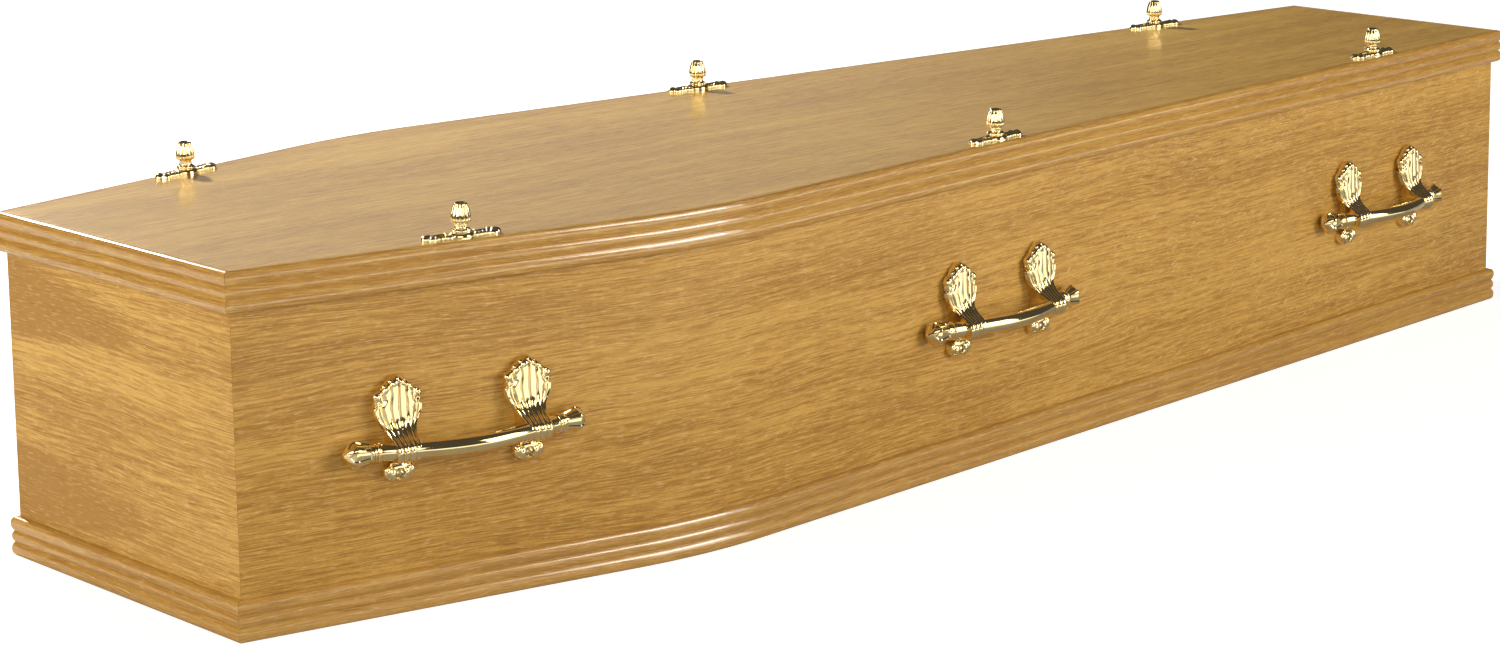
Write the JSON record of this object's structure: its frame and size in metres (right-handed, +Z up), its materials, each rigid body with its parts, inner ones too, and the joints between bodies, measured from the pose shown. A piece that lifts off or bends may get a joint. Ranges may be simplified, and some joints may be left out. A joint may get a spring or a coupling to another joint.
{
  "type": "coffin",
  "caption": "Oak-veneered tapered coffin with bent shoulders, reeded mouldings, a flat lift-off lid held by brass thumbscrews, and bowed brass bar handles on shell lugs.",
  "frame": {"origin": "on the ground, below the middle of the box's length and width", "axes": "+X from the head end to the foot end, +Y to the occupant's left, +Z up"},
  "size_m": [1.9846, 0.5926, 0.3873],
  "materials": {
    "oak_veneer": "crown-cut and figured oak veneer under satin lacquer",
    "oak_moulding": "straight-grained solid oak under satin lacquer",
    "brass": "bright electro-brass plate",
    "screw": "dull brassed steel with a cross recess"
  },
  "bodies": {
    "root": {"base_board": "oak_veneer", "lid_board": "oak_veneer", "head_board": "oak_veneer", "foot_board": "oak_veneer", "side_board_left": "oak_veneer", "side_board_right": "oak_veneer", "base_moulding_head": "oak_moulding", "base_moulding_foot": "oak_moulding", "base_moulding_left": "oak_moulding", "base_moulding_right": "oak_moulding", "lid_moulding_head": "oak_moulding", "lid_moulding_foot": "oak_moulding", "lid_moulding_left": "oak_moulding", "lid_moulding_right": "oak_moulding", "handle_bar_left_head": "brass", "shell_lug_left_head_headward": "brass", "lug_screw_left_head_headward": "screw", "shell_lug_left_head_footward": "brass", "lug_screw_left_head_footward": "screw", "lid_plate_left_head": "brass", "lid_knob_left_head": "brass", "handle_bar_left_middle": "brass", "shell_lug_left_middle_headward": "brass", "lug_screw_left_middle_headward": "screw", "shell_lug_left_middle_footward": "brass", "lug_screw_left_middle_footward": "screw", "lid_plate_left_middle": "brass", "lid_knob_left_middle": "brass", "handle_bar_left_foot": "brass", "shell_lug_left_foot_headward": "brass", "lug_screw_left_foot_headward": "screw", "shell_lug_left_foot_footward": "brass", "lug_screw_left_foot_footward": "screw", "lid_plate_left_foot": "brass", "lid_knob_left_foot": "brass", "handle_bar_right_head": "brass", "shell_lug_right_head_headward": "brass", "lug_screw_right_head_headward": "screw", "shell_lug_right_head_footward": "brass", "lug_screw_right_head_footward": "screw", "lid_plate_right_head": "brass", "lid_knob_right_head": "brass", "handle_bar_right_middle": "brass", "shell_lug_right_middle_headward": "brass", "lug_screw_right_middle_headward": "screw", "shell_lug_right_middle_footward": "brass", "lug_screw_right_middle_footward": "screw", "lid_plate_right_middle": "brass", "lid_knob_right_middle": "brass", "handle_bar_right_foot": "brass", "shell_lug_right_foot_headward": "brass", "lug_screw_right_foot_headward": "screw", "shell_lug_right_foot_footward": "brass", "lug_screw_right_foot_footward": "screw", "lid_plate_right_foot": "brass", "lid_knob_right_foot": "brass"}
  },
  "joints": []
}
